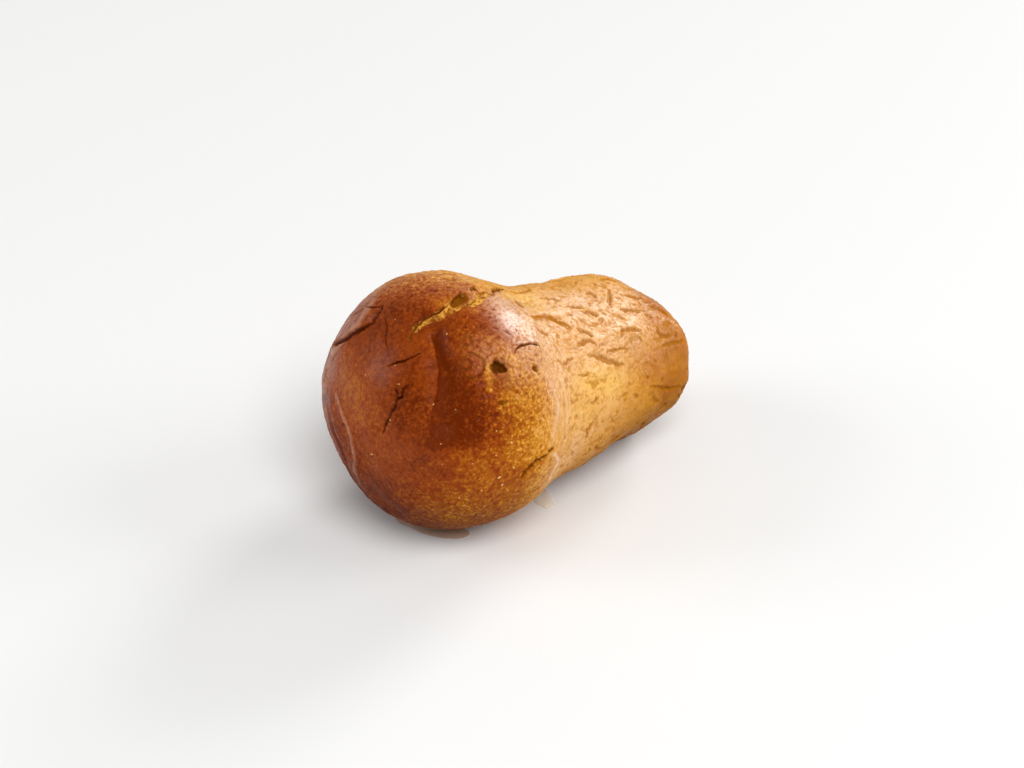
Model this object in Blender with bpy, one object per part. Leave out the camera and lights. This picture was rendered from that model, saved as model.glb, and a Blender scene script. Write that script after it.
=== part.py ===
"""A rum baba lying on its side.

It was baked standing in a thimble mould. The dough rose out of the mould, rolled over its rim and
set as a round, split head on a tapered stem. All of it is one soft crumb with a browned skin.

The form is worked out as baked, standing up, and is then laid on its side. A place on it is given
by its height in mm from the foot and its bearing in degrees round the axis: 0 is the top of the
baba as it lies, 90 its near side (-Y), 180 its underside and 270 its far side.
"""

import math

import bmesh
import bpy
import numpy as np
from mathutils import Matrix, Vector, noise

MM = 0.001

# The turned form, in mm
LENGTH = 110
FOOT_RADIUS = 22.8
FOOT_ROUNDING = 6
NECK_HEIGHT = 44
NECK_RADIUS = 27.4
STEM_BELLY = 0.6
HEAD_HEIGHT = 73
HEAD_RADIUS = 36.2
DOME_SQUARENESS = 2.15

# The skin's unevenness, in mm: coarse dents all over, and a crag that is strongest on the stem
DENT_SIZE = 16
DENT_DEPTH = 0.7
CRAG_SIZE = 5
CRAG_DEPTH = 0.75
CRAG_SHARE_ON_HEAD = 0.25
CRAG_FADE_HEIGHT = 22

# Swellings and hollows, in mm: how far each spreads, how far it lifts the skin, and its middle line
SWELLINGS = {
    "upper shoulder": (15, 2.3, [(77, 327)]),
    "far cheek": (13, 1.7, [(89, 312), (96, 290), (99, 262)]),
    "chin": (13, 1.5, [(92, 165)]),
    "near lobe": (11, 1.5, [(79, 28), (79, 62)]),
    "slack behind the split": (6, -1.1, [(65, 345), (62, 5)]),
    "crown of the neck": (9, 1.0, [(50, 338)]),
    "valley beside the near lobe": (4.5, -2.0, [(91, 13), (91, 22), (94, 36), (96, 52), (96, 78)]),
    "ridge above the fold": (2.6, 0.9, [(92, 328), (98, 325), (101, 315), (102, 300)]),
    "glaze ridge": (2.2, 0.7, [(103, 278), (108, 284), (109, 230), (108, 176), (103, 173)]),
    "dent under the dome": (6, -0.9, [(103, 166)]),
    "edge of the near lobe": (2.4, 0.9, [(60, 4), (61, 16), (65, 34), (68, 46), (70, 57)]),
    "gutter below the lobe": (2.8, -0.9, [(55, 4), (56, 16), (60, 34), (63, 46), (65, 58)]),
    "sagging neck": (15, 2.2, [(48, 120), (50, 150), (50, 210)]),
    "settled underside": (10, 2.4, [(4, 180), (42, 180)]),
    "stem's crown": (11, 2.2, [(18, 345)]),
    "slanted foot": (9, -1.9, [(3, 325), (3, 355)]),
    "middle of the foot": (11, -0.8, [(0, 0)]),
    "foot's near rim": (9, 1.4, [(1, 55), (1, 85)]),
    "foot's worn heel": (8, -1.4, [(4, 138)]),
    "far lobe": (13, 1.2, [(78, 225)]),
    "far valley": (5, -1.6, [(90, 205), (92, 232), (95, 258)]),
}

# Splits in the crust, in mm: width, depth, the lip that stands up beside it, and its route.
# The lip is this many widths from the middle, and a split is shallower near its ends.
LIP_PLACE = 1.6
END_SHARE = 0.2
END_DEPTH = 0.25
SPLITS = {
    "main split": (1.5, 2.4, 0.5, [(58, 356), (64, 358), (70, 0), (73, 2), (79, 6), (86, 10),
                                   (91, 8), (95, 6), (97, 8)]),
    "branch": (0.9, 0.9, 0.2, [(104, 13), (102, 18), (96, 20)]),
    "upright split": (1.0, 1.3, 0.3, [(102, 33), (104, 35), (107, 43), (108, 57), (109, 80)]),
    "fold": (1.2, 1.5, 0.2, [(94, 338), (97, 340), (100, 329), (102, 313), (103, 304), (101, 291)]),
    "blister's tear": (0.8, 0.9, 0.3, [(74, 40), (71, 37), (68, 38)]),
    "low split": (0.9, 0.8, 0.2, [(72, 91), (74, 94), (77, 98)]),
    "stem split": (0.9, 0.7, 0.2, [(61, 22), (56, 20), (51, 19), (48, 23), (45, 30)]),
    "far split": (1.1, 1.3, 0.3, [(84, 236), (88, 248), (95, 252), (100, 262)]),
    "rear split": (1.0, 1.1, 0.3, [(66, 300), (71, 304), (75, 302), (80, 307)]),
}

# Pits left by burst bubbles, in mm: radius, depth and place
PITS = {
    "mouth of the main split": (1.9, 1.6, (79, 6)),
    "deep pit": (1.7, 2.2, (81, 44)),
    "edge pit": (1.1, 1.0, (70, 48)),
    "low pit": (1.1, 0.8, (84, 48)),
    "side pit": (1.1, 0.7, (82, 60)),
    "top pit": (1.1, 0.8, (75, 348)),
    "foot's nick": (1.8, 0.9, (3, 96)),
}

# The mesh: squares along each side of the starting cube, and halvings near the splits
SQUARES = 26
HALVINGS = 2
HALVED_REACH = 2.2

# Points worked out round the heel of the profile, up each of its stretches and over its dome
HEEL_POINTS = 14
STRETCH_POINTS = 40
DOME_POINTS = 60

# A normal is taken across this much of the profile on either side, in mm
SLOPE_STEP = 0.5

# As it lies, the axis still slopes this much, and the underside is pressed flat by this many mm
TILT = math.radians(9.5)
PRESSED = 1.2


def smooth_step(x):
    x = np.clip(x, 0, 1)
    return x * x * x * (x * (6 * x - 15) + 10)


def turned_profile():
    """Heights and radii from the middle of the foot, round its rim, up the stem and over the head."""
    heel = np.linspace(0, math.pi / 2, HEEL_POINTS)
    heights = [0, *(FOOT_ROUNDING * (1 - np.cos(heel)))]
    radii = [0, *(FOOT_RADIUS - FOOT_ROUNDING * (1 - np.sin(heel)))]
    rise = np.linspace(0, 1, STRETCH_POINTS)[1:]
    heights += [*(FOOT_ROUNDING + (NECK_HEIGHT - FOOT_ROUNDING) * rise)]
    radii += [*(FOOT_RADIUS + (NECK_RADIUS - FOOT_RADIUS) * rise + STEM_BELLY * np.sin(math.pi * rise))]
    heights += [*(NECK_HEIGHT + (HEAD_HEIGHT - NECK_HEIGHT) * rise)]
    radii += [*(NECK_RADIUS + (HEAD_RADIUS - NECK_RADIUS) * smooth_step(rise))]
    dome = np.linspace(0, math.pi / 2, DOME_POINTS)[1:]
    power = 2 / DOME_SQUARENESS
    heights += [*(HEAD_HEIGHT + (LENGTH - HEAD_HEIGHT) * np.sin(dome) ** power)]
    radii += [*(HEAD_RADIUS * np.clip(np.cos(dome), 0, 1) ** power)]
    return np.array(heights), np.array(radii)


HEIGHTS, RADII = turned_profile()
STEPS = np.hypot(np.diff(HEIGHTS), np.diff(RADII))
ALONG = np.concatenate([[0], np.cumsum(STEPS)])
# The share of the skin's area below each profile point spreads the mesh evenly from pole to pole
SHARES = np.concatenate([[0], np.cumsum(STEPS * (RADII[1:] + RADII[:-1]) / 2)])
SHARES /= SHARES[-1]


def turned_point(along, bearing):
    """Points and outward normals, as baked, at a distance along the profile and a bearing."""
    height = np.interp(along, ALONG, HEIGHTS)
    radius = np.interp(along, ALONG, RADII)
    ahead = along + SLOPE_STEP
    behind = along - SLOPE_STEP
    climb = np.interp(ahead, ALONG, HEIGHTS) - np.interp(behind, ALONG, HEIGHTS)
    widening = np.interp(ahead, ALONG, RADII) - np.interp(behind, ALONG, RADII)
    length = np.hypot(climb, widening)
    side = np.stack([np.cos(bearing), -np.sin(bearing), 0 * bearing], axis=-1)
    axis = np.array([0, 0, 1])
    points = side * radius[:, None] + axis * height[:, None]
    normals = side * (climb / length)[:, None] - axis * (widening / length)[:, None]
    return points, normals


def places(route):
    """The turned form's points at the (height, bearing) pairs of a route, filled in every mm."""
    heights, bearings = np.array(route, dtype=float).T
    alongs = np.interp(heights, HEIGHTS, ALONG)
    corners, _ = turned_point(alongs, np.radians(bearings))
    filled = [corners[:1]]
    for start, end in zip(corners, corners[1:]):
        count = max(2, math.ceil(np.linalg.norm(end - start)) + 1)
        filled.append(start + (end - start) * np.linspace(0, 1, count)[1:, None])
    return np.concatenate(filled)


def distance_to(points, route):
    """How far points are from a route, and how far along it their nearest place is, from 0 to 1."""
    line = places(route)
    gaps = np.linalg.norm(points[:, None] - line[None], axis=2)
    nearest = gaps.argmin(axis=1)
    return gaps.min(axis=1), nearest / max(len(line) - 1, 1)


def bell(x):
    return np.exp(-x * x)


def lift(points):
    """How far the skin stands above the turned form at the given points, in mm."""
    total = np.zeros(len(points))
    for spread, height, route in SWELLINGS.values():
        gap, _ = distance_to(points, route)
        total += height * bell(gap / spread)
    for width, depth, lip, route in SPLITS.values():
        gap, share = distance_to(points, route)
        fade = np.clip(np.minimum(share, 1 - share) / END_SHARE, END_DEPTH, 1)
        total += fade * (lip * bell(gap / width - LIP_PLACE) - depth * bell(gap / width))
    for radius, depth, place in PITS.values():
        gap, _ = distance_to(points, [place])
        total -= depth * bell((gap / radius) ** 2)
    head = smooth_step((points[:, 2] - NECK_HEIGHT) / CRAG_FADE_HEIGHT)
    crag_depths = CRAG_DEPTH * (1 + (CRAG_SHARE_ON_HEAD - 1) * head)
    dents = np.array([noise.noise(Vector(point) / DENT_SIZE) for point in points])
    crags = np.array([noise.noise(Vector(point) / CRAG_SIZE) for point in points])
    return total + DENT_DEPTH * dents + crag_depths * crags


def laid_down(points):
    """Turns the axis from +Z to -X and tips it, so that the head is the higher end."""
    turn = Matrix.Rotation(TILT, 3, "Y") @ Matrix.Rotation(-math.pi / 2, 3, "Y")
    return points @ np.array(turn).T


def cube_grid():
    """An even cube of squares, split finer where the splits and pits will come."""
    grid = bmesh.new()
    bmesh.ops.create_cube(grid, size=2)
    bmesh.ops.subdivide_edges(grid, edges=grid.edges, cuts=SQUARES - 1, use_grid_fill=True)
    routes = [(width, route) for width, _, _, route in SPLITS.values()]
    routes += [(radius, [place]) for radius, _, place in PITS.values()]
    for halving in range(HALVINGS):
        edges = list(grid.edges)
        middles, _ = turned_point(*on_profile([(e.verts[0].co + e.verts[1].co) / 2 for e in edges]))
        near = np.zeros(len(edges), dtype=bool)
        for width, route in routes:
            gap, _ = distance_to(middles, route)
            near |= gap < HALVED_REACH * width / (1 + halving)
        chosen = [edge for edge, close in zip(edges, near) if close]
        bmesh.ops.subdivide_edges(grid, edges=chosen, cuts=1, use_grid_fill=True)
    return grid


def on_profile(cube_points):
    """Where a point of the cube goes: its distance along the profile, and its bearing."""
    # tan() spreads the squares evenly over the ball that the cube is blown up to
    ways = np.tan(np.array(cube_points) * math.pi / 4)
    ways /= np.linalg.norm(ways, axis=1)[:, None]
    alongs = np.interp((1 + ways[:, 2]) / 2, SHARES, ALONG)
    return alongs, np.arctan2(-ways[:, 1], ways[:, 0])


def baba():
    grid = cube_grid()
    points, normals = turned_point(*on_profile([v.co for v in grid.verts]))
    points = laid_down(points + normals * lift(points)[:, None])
    points[:, 2] = np.maximum(points[:, 2] - points[:, 2].min() - PRESSED, 0)
    points[:, :2] -= (points[:, :2].min(axis=0) + points[:, :2].max(axis=0)) / 2
    for vertex, point in zip(grid.verts, points):
        vertex.co = point * MM
    bmesh.ops.triangulate(grid, faces=grid.faces)
    bmesh.ops.recalc_face_normals(grid, faces=grid.faces)
    mesh = bpy.data.meshes.new("baba")
    grid.to_mesh(mesh)
    grid.free()
    mesh.shade_smooth()
    thing = bpy.data.objects.new("baba", mesh)
    bpy.context.scene.collection.objects.link(thing)
    return thing


def browned_crust():
    crust = bpy.data.materials.new("syrup-soaked crust")
    crust.use_nodes = True
    shader = crust.node_tree.nodes["Principled BSDF"]
    shader.inputs["Base Color"].default_value = (0.36, 0.11, 0.02, 1)
    shader.inputs["Roughness"].default_value = 0.35
    shader.inputs["Metallic"].default_value = 0
    return crust


def main():
    for old in list(bpy.data.objects):
        bpy.data.objects.remove(old)
    baba().data.materials.append(browned_crust())


main()
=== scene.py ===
import math
import random
from functools import partial

import bmesh
import bpy
import numpy as np
from mathutils import Matrix, Vector, noise
from mathutils.bvhtree import BVHTree
from mathutils.kdtree import KDTree


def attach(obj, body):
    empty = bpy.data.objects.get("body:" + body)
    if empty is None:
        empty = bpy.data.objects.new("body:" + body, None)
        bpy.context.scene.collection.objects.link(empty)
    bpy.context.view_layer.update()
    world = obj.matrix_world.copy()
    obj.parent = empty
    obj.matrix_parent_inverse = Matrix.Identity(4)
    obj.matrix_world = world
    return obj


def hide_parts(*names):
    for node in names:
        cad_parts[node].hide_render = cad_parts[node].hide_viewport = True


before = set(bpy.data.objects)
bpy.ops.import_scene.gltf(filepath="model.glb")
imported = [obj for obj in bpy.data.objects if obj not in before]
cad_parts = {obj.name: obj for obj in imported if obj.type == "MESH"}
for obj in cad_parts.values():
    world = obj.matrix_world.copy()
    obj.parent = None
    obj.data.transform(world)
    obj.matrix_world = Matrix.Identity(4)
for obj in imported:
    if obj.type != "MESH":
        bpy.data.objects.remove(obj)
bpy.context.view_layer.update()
mm = 0.001
print("frame loaded")


def addNode(tree, kind, inputs, out=0, **settings):  # one node, linked; its output, or itself for out=None
    node = tree.nodes.new(kind)
    for name, value in settings.items():
        setattr(node, name, value)
    for key, value in inputs.items() if isinstance(inputs, dict) else enumerate(inputs):
        if isinstance(value, bpy.types.NodeSocket):
            tree.links.new(value, node.inputs[key])
        else:
            node.inputs[key].default_value = value
    return node if out is None else node.outputs[out]


def paint(hexColour):  # an sRGB hex value as linear RGBA
    parts = [int(hexColour[i:i + 2], 16) / 255 for i in (1, 3, 5)]
    return [p / 12.92 if p <= 0.04045 else ((p + 0.055) / 1.055) ** 2.4 for p in parts] + [1]


def newMaterial(name):  # the material, and what adds nodes to it
    material = bpy.data.materials.new(name)
    material.use_nodes = True
    material.node_tree.nodes.clear()
    return material, partial(addNode, material.node_tree)


def newTree(name, sockets):  # a tree from geometry to geometry, what adds nodes to it, and its inputs
    tree = bpy.data.node_groups.new(name, "GeometryNodeTree")
    for socket, kind in {"Geometry": "NodeSocketGeometry", **sockets}.items():
        tree.interface.new_socket(socket, in_out="INPUT", socket_type=kind)
    tree.interface.new_socket("Geometry", in_out="OUTPUT", socket_type="NodeSocketGeometry")
    return tree, partial(addNode, tree), addNode(tree, "NodeGroupInput", {}, out=None).outputs


def showObject(name, mesh):
    thing = bpy.data.objects.new(name, mesh)
    bpy.context.scene.collection.objects.link(thing)
    return thing


def bakeModifiers(thing):  # the evaluated result as a plain mesh, with the modifiers gone
    depsgraph = bpy.context.evaluated_depsgraph_get()
    mesh = bpy.data.meshes.new_from_object(
        thing.evaluated_get(depsgraph), preserve_all_data_layers=True, depsgraph=depsgraph)
    thing.modifiers.clear()
    thing.data = mesh
    mesh.name = thing.name
    return mesh


def pointsOf(mesh):
    flat = np.empty(len(mesh.vertices) * 3, dtype=np.float32)
    mesh.vertices.foreach_get("co", flat)
    return flat.reshape(-1, 3).astype(float)


def setPoints(mesh, points):
    mesh.vertices.foreach_set("co", np.asarray(points, dtype=np.float32).ravel())
    mesh.update()


def giveValues(mesh, name, values):  # one number for each vertex, read by trees and materials
    layer = mesh.attributes.new(name, "FLOAT", "POINT")
    layer.data.foreach_set("value", np.asarray(values, dtype=np.float32))


# The solid's form in mm, on which places are measured. A place is its height from the foot along the axis and
# its bearing round the axis in degrees: 0 on top, 90 on the near side (-Y), 180 below, 270 on the far side.
form = {
    "length": 110,
    "footRadius": 22.8,
    "footRounding": 6,
    "neckHeight": 44,
    "neckRadius": 27.4,
    "headHeight": 73,
    "headRadius": 36.2,
    "domeSquareness": 2.15,
    "slope": 9.5,
    "footMiddle": (53.43, -0.08, 23.47),
}
slope = math.radians(form["slope"])
axisWay = Vector((-math.cos(slope), 0, math.sin(slope)))
topWay = Vector((math.sin(slope), 0, math.cos(slope)))
nearWay = Vector((0, -1, 0))
footMiddle = Vector(form["footMiddle"]) * mm


def smoothStep(x):
    x = np.clip(x, 0, 1)
    return x * x * x * (x * (6 * x - 15) + 10)


def radiusAt(height):
    if height < form["footRounding"]:
        drop = 1 - height / form["footRounding"]
        return form["footRadius"] - form["footRounding"] * (1 - math.sqrt(1 - drop * drop))
    if height < form["neckHeight"]:
        return form["footRadius"] + (form["neckRadius"] - form["footRadius"]) * height / form["neckHeight"]
    if height < form["headHeight"]:
        rise = (height - form["neckHeight"]) / (form["headHeight"] - form["neckHeight"])
        return form["neckRadius"] + (form["headRadius"] - form["neckRadius"]) * smoothStep(rise)
    rise = min((height - form["headHeight"]) / (form["length"] - form["headHeight"]), 1)
    power = form["domeSquareness"]
    return form["headRadius"] * (1 - rise ** power) ** (1 / power)


def turnedPlace(height, bearing):
    turn = math.radians(bearing)
    side = topWay * math.cos(turn) + nearWay * math.sin(turn)
    return footMiddle + (axisWay * height + side * radiusAt(height)) * mm


def heightsAndBearings(points):  # of points on the crust, in mm and radians
    away = points - np.array(footMiddle)
    heights = away @ np.array(axisWay) / mm
    return heights, np.arctan2(away @ np.array(nearWay), away @ np.array(topWay))


# The camera, at the photographed angle
shot = {
    "azimuth": -38.31,
    "elevation": 35,
    "distance": 726.55,  # mm from the point on the floor that is in the picture's middle
    "middle": (30.37, 35.94, 0),
    "lens": 80,
    "sensor": 36,
}


def makeCamera():
    azimuth, elevation = math.radians(shot["azimuth"]), math.radians(shot["elevation"])
    back = Vector((math.sin(azimuth) * math.cos(elevation), -math.cos(azimuth) * math.cos(elevation),
                   math.sin(elevation)))
    right = Vector((math.cos(azimuth), math.sin(azimuth), 0))
    place = (Vector(shot["middle"]) + back * shot["distance"]) * mm
    data = bpy.data.cameras.new("camera")
    data.lens = shot["lens"]
    data.sensor_width = shot["sensor"]
    data.clip_start = 0.01
    camera = showObject("camera", data)
    turn = Matrix((right, back.cross(right), back)).transposed().to_4x4()
    camera.matrix_world = Matrix.Translation(place) @ turn
    bpy.context.scene.camera = camera
    return right, -Vector((back.x, back.y, 0)).normalized()


rightWay, awayWay = makeCamera()
print("camera set")


# The crust: an even skin over the solid
skin = {
    "voxel": 0.62,  # mm between the points of the even skin
    "smoothings": 27,
    "fineReach": 0.7,  # mm from a crack within which the skin is halved
    "finestReach": 0.4,
    "triangles": 196000,  # kept in the end, most of them where the relief is
}


def evenSkin():
    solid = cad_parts["baba"]
    mesh = solid.data.copy()
    grid = bmesh.new()
    grid.from_mesh(mesh)
    bmesh.ops.remove_doubles(grid, verts=grid.verts, dist=0.01 * mm)
    grid.to_mesh(mesh)
    grid.free()
    mesh.materials.clear()
    crust = showObject("crust", mesh)
    rounding = crust.modifiers.new("rounding", "SUBSURF")
    rounding.levels = rounding.render_levels = 1
    remesh = crust.modifiers.new("remesh", "REMESH")
    remesh.mode = "VOXEL"
    remesh.voxel_size = skin["voxel"] * mm
    evening = crust.modifiers.new("evening", "SMOOTH")
    evening.factor = 0.5
    evening.iterations = skin["smoothings"]
    bakeModifiers(crust)
    return crust


crust = evenSkin()
print("even skin:", len(crust.data.polygons), "faces")
skinTree = BVHTree.FromObject(crust, bpy.context.evaluated_depsgraph_get())


def onSkin(point):
    place, normal, _, _ = skinTree.find_nearest(point)
    return place, normal


# Cracks, folds, pits and grooves are trails of points, each with a width and a depth.
# Each crack: width, depth, lip (mm), how golden its floor is (0 dark crust with painted shade, 1 open crumb),
# and its places
cracks = {
    "crumbEdge": (0.36, 0.9, 0.30, 0.25, [(91.5, 5.2), (89.9, 6.2), (87.5, 6.6), (85, 5.6), (82.8, 4.4)]),
    "cavity": (1.35, 2.4, 0.30, 0.3, [(80.6, 6.7), (79.8, 6.3), (77.7, 5), (75.9, 3.7), (75.2, 3.2)]),
    "splitTip": (0.34, 0.6, 0.15, 0.3, [(97.5, 9.5), (96.8, 7.8), (94.6, 5.6), (92.8, 5.9), (91.5, 5.7)]),
    "splitEnd": (0.9, 1.7, 0.50, 0.2, [
        (72.4, 359.4), (70, 0.5), (68.6, 3.2), (65, 1), (62.1, 357.2), (57.8, 353)]),
    "deepPit": (1.4, 2.0, 0.25, 0.15, [(83.2, 43.3), (82.2, 43.8), (81, 44.5), (80, 46), (79.5, 46.8)]),
    "topPit": (0.95, 1.4, 0.12, 0.2, [(75.8, 346), (75.0, 347.8), (74.0, 349.8)]),
    "branch": (0.3, 0.8, 0.16, 0.0, [
        (103.8, 12.1), (102.3, 15.5), (100.8, 18.6), (99.2, 19.7), (97.4, 20.6)]),
    "uprightSplit": (0.42, 1.3, 0.22, 0.0, [
        (102.7, 34.3), (103.8, 34.8), (104.5, 38.8), (105.5, 39.6), (106.2, 45), (107, 47), (107.3, 53),
        (107.9, 57), (108.2, 64), (108.4, 71.3)]),
    "uprightBranch": (0.26, 0.5, 0.10, 0.0, [(104.9, 37), (104.8, 31.7)]),
    "foldCrack": (0.65, 1.3, 0.20, 0.0, [
        (100.8, 288), (100.7, 300.1), (101.5, 314.7), (100.8, 321.3), (99.4, 329.5), (97.7, 336.6)]),
    "foldTop": (0.3, 0.6, 0.15, 0.0, [(95.1, 313.7), (94.6, 324.8), (94.1, 331.9), (93.4, 337.2)]),
    "foldMouth": (0.7, 1.2, 0.20, 0.0, [(97.3, 334.8), (95.3, 336.2), (93.3, 336)]),
    "fineLine": (0.2, 0.25, 0.05, 0.0, [(94.7, 339.8), (97.8, 349), (100.4, 355.6), (102.1, 5)]),
    "lobeTear": (0.36, 0.8, 0.25, 0.15, [
        (75.5, 40.5), (73.6, 38.6), (70.9, 38), (68.6, 38.1), (66.9, 39.5), (66.8, 42.6), (68, 46.9)]),
    "lowSplit": (0.7, 1.4, 0.40, 0.25, [
        (76.2, 99), (75.1, 95.9), (74, 94.2), (72.8, 91.6), (70.1, 91.3), (68.4, 89.9), (65.8, 88.4)]),
    "neckSplit": (0.45, 0.6, 0.20, 0.8, [(63, 24), (54, 18), (50, 20), (47, 24), (45, 30)]),
    "farSplit": (0.5, 0.9, 0.20, 0.2, [(84, 236), (88, 248), (95, 252), (100, 262)]),
    "rearSplit": (0.5, 0.9, 0.20, 0.4, [(66, 300), (71, 304), (75, 302), (80, 307)]),
    "underSplit": (0.4, 0.6, 0.15, 0.2, [(92, 205), (97, 214), (99, 226)]),
}
# Grooves in the stem's skin that stand out in the photograph: width, depth (mm), and the places
grooves = {
    "lip": 0.22,
    "golden": 0.7,
    "tint": 0.72,
    "waver": 1.8,
    "lines": [
        (0.70, 0.8, [(60, 22), (52, 18), (49, 22), (46, 30)]),
        (0.60, 0.8, [(28, 39), (24, 40), (20, 42)]),
        (0.60, 0.8, [(12, 41), (12, 48), (8, 50)]),
        (0.60, 0.7, [(23, 24), (18, 26), (13, 26)]),
        (0.60, 0.6, [(37, 19), (34, 22), (34, 25)]),
        (0.80, 0.8, [(43, 49), (38, 54), (34, 58), (31, 60)]),
        (0.60, 0.6, [(46, 42), (42, 40), (39, 44)]),
        (0.50, 0.5, [(36, 50), (32, 50), (28, 50)]),
        (0.80, 0.8, [(35, 340), (28, 338), (23, 344)]),
        (0.60, 0.6, [(21, 354), (18, 352), (15, 356)]),
        (0.70, 0.8, [(9, 22), (6, 28), (4, 34)]),
        (0.50, 0.5, [(58, 46), (56, 50), (50, 48)]),
        (0.50, 0.5, [(13, 56), (8, 56), (4, 56)]),
        (0.50, 0.5, [(41, 13), (36, 16)]),
        (0.55, 0.6, [(43, 31), (39, 38)]),
        (0.60, 0.5, [(21, 4), (24, 12), (26, 20)]),
        (0.50, 0.6, [(17, 11), (13, 14), (8, 14)]),
        (0.50, 0.5, [(47, 1), (42, 6)]),
        (0.50, 0.5, [(20, 80), (12, 88), (6, 90)]),
        (0.55, 0.6, [(62, 29), (56, 32)]),
        (0.60, 0.6, [(56, 356), (52, 354), (46, 350)]),
        (0.50, 0.6, [(61, 10), (62, 14), (62, 18)]),
        (0.60, 0.6, [(6, 2), (3, 4), (4, 12)]),
        (0.50, 0.5, [(30, 4), (28, 4), (28, 10)]),
        (0.45, 0.4, [(44.9, 89.6), (46.6, 93.3), (47.1, 99.4)]),
    ],
}
# Pits of burst bubbles: radius, depth (mm), how golden the floor is, and the place
pitLip = 0.12
pits = {
    "flakeHole": (0.7, 0.8, 0.35, (83.4, 60)),
    "edgePit": (0.85, 1.2, 0.3, (70.4, 49.5)),
    "lowPit": (0.5, 0.4, 0.4, (83.6, 50)),
    "sidePit": (0.5, 0.5, 0.4, (82, 60)),
    "footNick": (1.5, 0.8, 0.3, (3, 94)),
    "stemPit": (0.6, 0.6, 0.8, (33, 24)),
}
# Rings where a blister dried flat: radius and the place
blisters = {"upper": (1.4, (86.1, 28)), "lower": (1.4, (89.2, 38.3)), "wide": (3.4, (88, 40))}
ring = {"width": 0.42, "depth": 0.3, "lip": 0.16, "golden": 0.15, "tint": 0.42, "steps": 14,
        "waver": 0.6}
ridgeWaver = 0.7
leftHollow = [(105.4, 265), (107.1, 270.5), (108, 254.6), (108.7, 232.1), (108.5, 206), (104, 194.4)]
# Raised lines of glaze and folded skin, and dents where the height is less than 0: width, height (mm), how
# much glaze has gathered there, which also paints a pale highlight along the line, and the places
ridges = {
    "leftGlaze": (0.5, 0.5, 0.28, [
        (108.4, 293.7), (109.1, 294.3), (109.7, 286.2), (109.95, 257), (109.9, 175.3), (109.2, 169.8),
        (106.8, 177.4), (104.2, 178.4), (101.7, 176.4)]),
    "leftDent": (1.4, -0.55, 0, leftHollow),
    "foldRidge": (1.3, 0.7, 0.3, [(92, 328), (98, 326), (101, 316), (102, 298)]),
    "lobeEdge": (0.9, 0.4, 0.2, [(58, 358), (61, 16), (65, 34), (68, 46), (70, 54)]),
    "neckGlaze": (0.5, 0.6, 0.55, [(59, 58.5), (58.7, 65.7), (58.6, 77.3), (57.8, 88), (58.5, 94.4)]),
    "neckGlazeLow": (0.6, 0.7, 0.85, [
        (65.3, 91.4), (63.2, 95.5), (62.1, 99.1), (63, 104.9), (63.3, 111), (63.8, 116)]),
    "neckGlazeB": (0.45, 0.35, 0.4, [(55.9, 59.5), (56.3, 69.4), (57.4, 81.7)]),
    "neckBand": (1.3, 0.4, 0.3, [(67, 52), (65, 60), (64, 70), (66, 80)]),
    "flakeRim": (0.4, 0.3, 0, [
        (84, 43), (85, 45), (86, 48.4), (86.4, 52.9), (85.4, 56.6), (83.5, 58.5), (80.5, 59)]),
    "flakeDent": (2.2, -0.6, 0, [(83, 50), (81, 54)]),
    "wrinkleB": (0.35, 0.3, 0.5, [(67, 80), (66, 86)]),
    "wrinkleC": (0.35, 0.4, 0.7, [(45, 93.5), (46, 97.2), (46.5, 100.1)]),
    "wrinkleD": (0.3, 0.3, 0.5, [(48.5, 90), (49.5, 94), (50, 99)]),
    "farWrinkle": (0.4, 0.3, 0.5, [(58, 250), (57, 262), (60, 272)]),
}
trail = {
    "step": 0.22,  # mm between the points of a trail
    "waver": 0.30,  # mm that a crack strays from its smooth line
    "waverSize": 1.6,
    "fineShare": 0.5,  # of the waver, in fine turns
    "fineSize": 0.5,
    "endShare": 0.22,
    "endDepth": 0.15,
    "taper": 0.45,  # how much narrower it is at its ends
    "unevenness": 0.45,
    "unevenSize": 2.1,
    # in dark cracks the floor's colour is partly painted shade
    "tint": 0.98,  # how much of the floor's own colour shows
}
scatteredGrooves = {
    "seed": 11,
    "count": 170,
    "spacing": 3.4,  # mm between their middles
    "tries": 9000,
    "length": (1.2, 4.5),
    "width": (0.35, 0.75),
    "depth": (0.3, 0.62),
    "lip": 0.2,
    "golden": (0.6, 0.9),
    "tint": 0.42,
    "waver": 1.8,
    "turn": 65,  # degrees off the axis
    "curl": 0.3,  # how far the middle bows out, as a share of the length
    "highest": 62,  # mm from the foot; the head's dome has none
    "clear": 1.6,  # mm kept from the other marks
    "leastAlong": 0.4,  # where the axis lies in the skin by less, as on the foot, they lie any way round
}
scatteredPores = {
    "seed": 5,
    "count": 200,
    "tries": 1700,
    "spacing": 2.0,
    "radius": (0.2, 0.48),
    "depth": (0.1, 0.4),
    "lip": 0.04,
    "golden": (0.0, 0.3),
    "tint": 0.4,
    "clear": 1.2,
}


def smoothRoute(corners, step, closed=False):  # a Catmull-Rom curve through the corners, in even steps
    if closed:
        ends = [corners[-1], *corners, *corners[:2]]
    else:
        ends = [corners[0] * 2 - corners[1], *corners, corners[-1] * 2 - corners[-2]]
    curve = []
    for a, b, c, d in zip(ends, ends[1:], ends[2:], ends[3:]):
        count = max(2, math.ceil((c - b).length / step))
        for i in range(count):
            t = i / count
            curve.append(0.5 * (2 * b + (c - a) * t + (2 * a - 5 * b + 4 * c - d) * t * t
                                + (3 * b - a - 3 * c + d) * t ** 3))
    return curve if closed else curve + [corners[-1]]


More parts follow.
